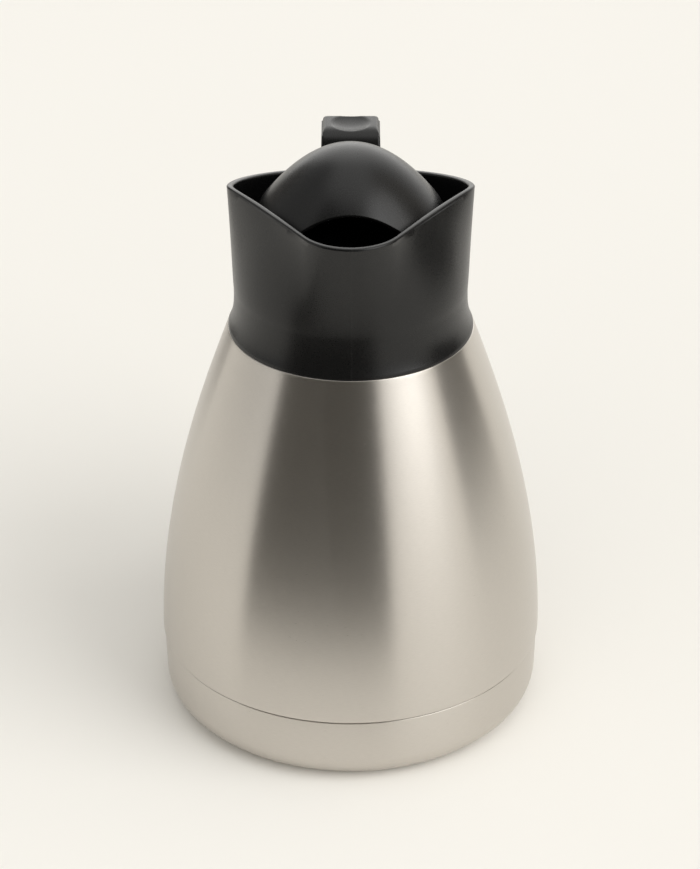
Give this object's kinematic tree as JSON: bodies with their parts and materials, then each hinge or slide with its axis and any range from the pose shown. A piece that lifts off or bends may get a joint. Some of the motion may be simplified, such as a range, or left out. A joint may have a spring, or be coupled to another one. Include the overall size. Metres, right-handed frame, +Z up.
{
  "type": "thermal carafe with flip lid",
  "caption": "Double-walled steel carafe with a black pouring collar, a hinged hood and stopper lifted by a thumb lever, and a rear grip.",
  "frame": {"origin": "centre of the foot pad's underside, on the axis of the round body, at table height", "axes": "+Z up along the body's axis; the spout points to -Y and the handle to +Y; +X completes the right-handed frame"},
  "size_m": [0.1428, 0.1818, 0.2231],
  "materials": {
    "brushed_steel": "horizontally brushed, satin",
    "bare_steel": "plain drawn",
    "foil": "bright foil",
    "black_plastic": "fine texture, satin",
    "silicone": "matt",
    "foam": "closed cell"
  },
  "bodies": {
    "jug": {"outer_shell": "brushed_steel", "inner_flask": "bare_steel", "flask_neck": "bare_steel", "flask_bottom": "bare_steel", "reflector_foil": "foil", "vacuum_base": "bare_steel", "vacuum_plug": "bare_steel", "getter": "bare_steel", "base_cup": "brushed_steel", "foot_pad": "silicone", "collar": "black_plastic", "throat_ring": "black_plastic", "neck_gasket": "silicone", "handle_shell": "black_plastic", "handle_cover": "black_plastic", "handle_bracket": "bare_steel", "handle_screws": "bare_steel", "hinge_pin": "bare_steel"},
    "lid": {"lid_lever": "black_plastic", "lid_hood": "black_plastic", "stopper_body": "black_plastic", "stopper_gasket": "silicone", "stopper_foam": "foam", "stopper_screws": "bare_steel"}
  },
  "joints": [
    {"name": "lid_hinge", "type": "hinge", "parent": "jug", "child": "lid", "pos_m": [0, 0.048, 0.19], "axis": [-1, 0, 0], "range_deg": [0, 65]}
  ]
}
